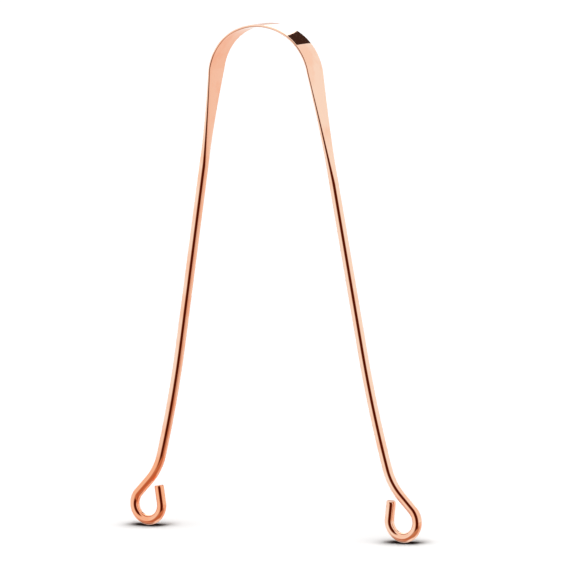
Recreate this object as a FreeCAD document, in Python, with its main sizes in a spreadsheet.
import FreeCAD, Part
import math
import os

import Sketcher

# Tongue scraper bent from one copper wire: flat over the bow, round down the arms, a loop at each end.
# It stands on its loops in the XZ plane: X runs from the left arm to the right one, Y through the bow, Z up.
# Each piece is one stretch of the wire. It starts at its own origin, runs straight down there, and is then
# placed at the end of the stretch above it. Headings are angles from straight down, outward.

# Driving sizes, in millimetres and degrees
SIZES = {
    # the round wire, and how wide its middle is flattened
    "wire_diameter": 2.6,
    "strip_width": 7.5,
    # the bow: a flatter crown between two tighter sides
    "crown_radius": 18.0,
    "crown_half_angle": 30.0,
    "side_radius": 14.6,
    # the arms: straight at first, with the flat running out further on the right, then slowly curving outward
    "splay_angle": 10.2,
    "left_shoulder_length": 27.0,
    "right_shoulder_length": 31.0,
    "arm_straight": 46.0,
    "curve_radius": 333.0,
    "flare_angle": 15.8,
    # the necks and the open finger loops
    "neck_radius": 16.5,
    "neck_angle": 45.0,
    "loop_lead": 5.2,
    "loop_radius": 4.45,
    "tip_lean": 8.0,
    "mouth_gap": 1.15,
    "end_chamfer": 0.2,
}

# A shoulder's sections along its length, and the power of the length left that its spare width follows
SECTION_SHARES = (0, 0.2, 0.4, 0.6, 0.8, 1)
TAPER_POWER = 1.5
# Half of what is left of the strip's flats where they end on the round wire, as a share of its diameter
LAST_FLAT_SHARE = 0.05


def below_bow(name, length):
    """Formulas for the point that lies a length down the straight run, which starts with the shoulder."""
    return {
        f"{name}_x": f"shoulder_x + {length} * sin(sizes.splay_angle)",
        f"{name}_drop": f"shoulder_drop + {length} * cos(sizes.splay_angle)",
    }


# Worked-out sizes: the wire's section, turns and lengths, then where each stretch starts, as an outward
# distance and a drop from the top of the centreline
LAYOUT = {
    "section_area": "pi * sizes.wire_diameter ^ 2 / 4",
    "edge_share": "1 - pi / 4",
    "crown_turn": "2 * sizes.crown_half_angle",
    "side_turn": "90 - sizes.splay_angle - sizes.crown_half_angle",
    "curve_turn": "sizes.flare_angle - sizes.splay_angle",
    "neck_turn": "sizes.neck_angle - sizes.flare_angle",
    "tip_angle": "sizes.neck_angle + sizes.tip_lean",
    "loop_turn": "180 + tip_angle",
    "loop_reach": "(sizes.loop_radius - sizes.wire_diameter / 2) * (1 + cos(tip_angle))",
    "tip_length": "(loop_reach - sizes.mouth_gap) / sin(tip_angle)",
    "straight_run": "sizes.arm_straight + max(sizes.left_shoulder_length; sizes.right_shoulder_length)",
    "left_arm_straight": "straight_run - sizes.left_shoulder_length",
    "right_arm_straight": "straight_run - sizes.right_shoulder_length",
    "radius_step": "sizes.crown_radius - sizes.side_radius",
    "side_x": "radius_step * sin(sizes.crown_half_angle)",
    "side_drop": "sizes.crown_radius - radius_step * cos(sizes.crown_half_angle)",
    "shoulder_x": "side_x + sizes.side_radius * cos(sizes.splay_angle)",
    "shoulder_drop": "side_drop - sizes.side_radius * sin(sizes.splay_angle)",
    **below_bow("left_arm", "sizes.left_shoulder_length"),
    **below_bow("right_arm", "sizes.right_shoulder_length"),
    **below_bow("curve", "straight_run"),
    "neck_x": "curve_x + sizes.curve_radius * (cos(sizes.splay_angle) - cos(sizes.flare_angle))",
    "neck_drop": "curve_drop + sizes.curve_radius * (sin(sizes.flare_angle) - sin(sizes.splay_angle))",
    "loop_x": "neck_x + sizes.neck_radius * (cos(sizes.flare_angle) - cos(sizes.neck_angle))",
    "loop_drop": "neck_drop + sizes.neck_radius * (sin(sizes.neck_angle) - sin(sizes.flare_angle))",
    "curl_drop": "sizes.loop_lead * cos(sizes.neck_angle) + sizes.loop_radius * (1 + sin(sizes.neck_angle))",
    "apex_height": "loop_drop + curl_drop + sizes.wire_diameter / 2",
}

doc = FreeCAD.newDocument("tongue_scraper")


def fill_sheet(name, cells):
    """Write one value or formula per row, in column B, with its name in column A and as its alias."""
    sheet = doc.addObject("Spreadsheet::Sheet", name)
    for row, (alias, text) in enumerate(cells.items(), start=1):
        sheet.set(f"A{row}", alias)
        sheet.set(f"B{row}", text)
        sheet.setAlias(f"B{row}", alias)
    doc.recompute()
    return sheet


sizes = fill_sheet("sizes", {name: str(value) for name, value in SIZES.items()})
layout = fill_sheet("layout", {name: f"={formula}" for name, formula in LAYOUT.items()})


def number(expression):
    """Value of an expression, for drawing geometry where its constraints will hold it."""
    return float(sizes.evalExpression(expression))


def new_body(label):
    body = doc.addObject("PartDesign::Body", label)
    body.Label = label
    return body


def place(body, side, start, heading):
    """Set a body's origin at a stretch's start. The left side is the right one turned half way round Z."""
    origin = f"vector(layout.{start}_x; 0; layout.apex_height - layout.{start}_drop)"
    right = f"placement({origin}; rotationy(-{heading}))"
    body.setExpression("Placement", right if side == "right" else f"rotationz(180) * {right}")


def new_sketch(body, name, origin="vector(0; 0; 0)", turn=0):
    """Sketch across the wire, with its own origin moved in the body and turned inward about Y from level."""
    sketch = body.newObject("Sketcher::SketchObject", f"{body.Label}_{name}")
    level = next(feature for feature in body.Origin.OriginFeatures if feature.Role == "XY_Plane")
    sketch.AttachmentSupport = [(level, "")]
    sketch.MapMode = "FlatFace"
    sketch.setExpression("AttachmentOffset", f"placement({origin}; rotationy({turn}))")
    return sketch


# Sketch geometry: the root point, the axes and the points of a curve, by the numbers that constraints use
START, END, CENTRE = range(1, 4)
H_AXIS, V_AXIS = -1, -2
ROOT = (H_AXIS, START)
NORMAL = FreeCAD.Vector(0, 0, 1)


def constrain(sketch, kind, *elements):
    sketch.addConstraint(Sketcher.Constraint(kind, *elements))


def measure(sketch, name, expression, kind, *elements):
    """Add a named dimension bound to an expression."""
    index = sketch.addConstraint(Sketcher.Constraint(kind, *elements, number(expression)))
    sketch.renameConstraint(index, name)
    sketch.setExpression(f"Constraints.{name}", expression)


def point(x, y):
    return FreeCAD.Vector(x, y, 0)


def arc(centre, radius, first, last):
    return Part.ArcOfCircle(Part.Circle(centre, NORMAL, radius), first, last)


def draw_strip(sketch, width, reach=None):
    """Flattened section with round edges: thickness along x, width along y, middle out along x by reach.

    Flattening keeps the section's area, so its width sets its thickness.
    """
    root = f"sqrt(({width}) ^ 2 - 4 * layout.edge_share * layout.section_area)"
    thickness = f"({width} - {root}) / (2 * layout.edge_share)"
    flat = f"{width} - {thickness}"
    radius = number(thickness) / 2
    half = number(flat) / 2
    middle = number(reach) if reach else 0
    sketch.addGeometry(Part.LineSegment(point(middle + radius, -half), point(middle + radius, half)))
    sketch.addGeometry(arc(point(middle, half), radius, 0, math.pi))
    sketch.addGeometry(Part.LineSegment(point(middle - radius, half), point(middle - radius, -half)))
    sketch.addGeometry(arc(point(middle, -half), radius, math.pi, 2 * math.pi))
    for edge, following in ((0, 1), (1, 2), (2, 3), (3, 0)):
        constrain(sketch, "Tangent", edge, END, following, START)
    constrain(sketch, "Equal", 1, 3)
    constrain(sketch, "Symmetric", 1, CENTRE, 3, CENTRE, H_AXIS)
    if reach:
        measure(sketch, "reach", reach, "DistanceX", *ROOT, 1, CENTRE)
    else:
        constrain(sketch, "PointOnObject", 1, CENTRE, V_AXIS)
    measure(sketch, "thickness", thickness, "Diameter", 1)
    measure(sketch, "flat", flat, "DistanceY", 3, CENTRE, 1, CENTRE)


def draw_split_round(sketch):
    """Round section in four arcs, in the order of the strip's edges, so that a loft joins like to like."""
    radius = number("sizes.wire_diameter") / 2
    last_flat = f"{LAST_FLAT_SHARE} * sizes.wire_diameter"
    corner = math.asin(number(last_flat) / radius)
    splits = (-corner, corner, math.pi - corner, math.pi + corner, 2 * math.pi - corner)
    for first, last in zip(splits, splits[1:]):
        sketch.addGeometry(arc(point(0, 0), radius, first, last))
    for edge, following in ((0, 1), (1, 2), (2, 3), (3, 0)):
        constrain(sketch, "Coincident", edge, END, following, START)
    for edge in (0, 1, 2):
        constrain(sketch, "Coincident", edge, CENTRE, *ROOT)
    constrain(sketch, "Equal", 0, 3)
    measure(sketch, "wire", "sizes.wire_diameter", "Diameter", 0)
    measure(sketch, "right_top", last_flat, "DistanceY", *ROOT, 0, END)
    measure(sketch, "right_bottom", last_flat, "DistanceY", 0, START, *ROOT)
    measure(sketch, "left_top", last_flat, "DistanceY", *ROOT, 2, START)
    measure(sketch, "left_bottom", last_flat, "DistanceY", 2, END, *ROOT)


def draw_round(sketch, reach=None):
    """Round section of the bare wire, with its middle out along x by reach."""
    middle = point(number(reach) if reach else 0, 0)
    sketch.addGeometry(Part.Circle(middle, NORMAL, number("sizes.wire_diameter") / 2))
    if reach:
        constrain(sketch, "PointOnObject", 0, CENTRE, H_AXIS)
        measure(sketch, "reach", reach, "DistanceX", *ROOT, 0, CENTRE)
    else:
        constrain(sketch, "Coincident", 0, CENTRE, *ROOT)
    measure(sketch, "wire", "sizes.wire_diameter", "Diameter", 0)


def run_straight(body, section, length):
    """Carry a section straight on, down from its sketch."""
    run = body.newObject("PartDesign::Pad", f"{section.Label}_run")
    run.Profile = section
    run.Reversed = True
    run.setExpression("Length", length)
    return run


def bend(body, section, turn):
    """Turn a section about its sketch's own y axis."""
    bent = body.newObject("PartDesign::Revolution", f"{section.Label}_bend")
    bent.Profile = section
    bent.ReferenceAxis = (section, ["V_Axis"])
    bent.setExpression("Angle", turn)
    return bent


def bend_outward(body, radius, turn, depth="0"):
    """Bend the bare wire outward, starting at a depth under the body's origin."""
    section = new_sketch(body, "bend", f"vector({radius}; 0; -{depth})")
    draw_round(section, f"-{radius}")
    bend(body, section, turn).Reversed = True


def bent_strip(label, radius, turn):
    """Strip of the bow, turned about its bend's centre, which is the body's origin."""
    body = new_body(label)
    section = new_sketch(body, "section")
    draw_strip(section, "sizes.strip_width", radius)
    return body, bend(body, section, turn)


def bow_crown():
    """Top of the bow, whose edges scrape. It is bent evenly to both sides of its middle."""
    body, bent = bent_strip("bow_crown", "sizes.crown_radius", "layout.crown_turn")
    bent.Midplane = True
    centre = "vector(0; 0; layout.apex_height - sizes.crown_radius)"
    body.setExpression("Placement", f"placement({centre}; rotationy(-90))")
    return body


def bow_side(side):
    """Tighter bend from the crown down to the shoulder, thin enough to flex when the arms are pressed."""
    body, bent = bent_strip(f"{side}_bow_side", "sizes.side_radius", "layout.side_turn")
    bent.Reversed = True
    place(body, side, "side", "sizes.splay_angle")
    return body


def shoulder(side):
    """Straight stretch where the flat strip runs out into the round wire."""
    body = new_body(f"{side}_shoulder")
    sections = []
    for order, share in enumerate(SECTION_SHARES):
        depth = f"{share} * sizes.{side}_shoulder_length"
        section = new_sketch(body, f"section_{order}", f"vector(0; 0; -{depth})")
        if share < 1:
            spare = f"(1 - {share}) ^ {TAPER_POWER} * (sizes.strip_width - sizes.wire_diameter)"
            draw_strip(section, f"(sizes.wire_diameter + {spare})")
        else:
            draw_split_round(section)
        sections.append(section)
    loft = body.newObject("PartDesign::AdditiveLoft", f"{side}_shoulder_loft")
    loft.Profile = sections[0]
    loft.Sections = sections[1:]
    loft.Ruled = True
    place(body, side, "shoulder", "sizes.splay_angle")
    return body


def arm(side):
    """Round wire, straight below the shoulder and then slowly curving outward."""
    body = new_body(f"{side}_arm")
    section = new_sketch(body, "section")
    draw_round(section)
    straight = f"layout.{side}_arm_straight"
    run_straight(body, section, straight)
    bend_outward(body, "sizes.curve_radius", "layout.curve_turn", straight)
    place(body, side, f"{side}_arm", "sizes.splay_angle")
    return body


def neck(side):
    """Short outward bend that leads the arm into its loop."""
    body = new_body(f"{side}_neck")
    bend_outward(body, "sizes.neck_radius", "layout.neck_turn")
    place(body, side, "neck", "sizes.flare_angle")
    return body


def finger_loop(side):
    """Open loop curled inward. Its straight tip stops short of the lead, and its cut end is chamfered."""
    body = new_body(f"{side}_finger_loop")
    lead = new_sketch(body, "lead")
    draw_round(lead)
    run_straight(body, lead, "sizes.loop_lead")
    centre = "vector(-sizes.loop_radius; 0; -sizes.loop_lead)"
    curl = new_sketch(body, "curl", centre)
    draw_round(curl, "sizes.loop_radius")
    bend(body, curl, "layout.loop_turn")
    tip = new_sketch(body, "tip", centre, "layout.loop_turn")
    draw_round(tip, "sizes.loop_radius")
    run = run_straight(body, tip, "layout.tip_length")
    doc.recompute()
    reach = FreeCAD.Vector(number("sizes.loop_radius"), 0, -number("layout.tip_length"))
    cut = tip.Placement.multVec(reach)
    gaps = [edge.CenterOfMass.distanceToPoint(cut) for edge in run.Shape.Edges]
    rim = gaps.index(min(gaps)) + 1
    chamfer = body.newObject("PartDesign::Chamfer", f"{side}_finger_loop_end")
    chamfer.Base = (run, [f"Edge{rim}"])
    chamfer.setExpression("Size", "sizes.end_chamfer")
    place(body, side, "loop", "sizes.neck_angle")
    return body


pieces = [bow_crown()]
for side in ("left", "right"):
    pieces += [make(side) for make in (bow_side, shoulder, arm, neck, finger_loop)]
doc.recompute()

for item in doc.Objects:
    if "Invalid" in item.State or "Error" in item.State:
        raise RuntimeError(f"{item.Label} failed: {item.State}")
for piece in pieces:
    if piece.Shape.isNull() or not piece.Shape.isValid():
        raise RuntimeError(f"{piece.Label} has no valid shape")

os.makedirs("parts", exist_ok=True)
for piece in pieces:
    piece.Shape.exportStep(f"parts/{piece.Label}.step")
    print(f"{piece.Label}: {piece.Shape.Volume:.2f} mm3")
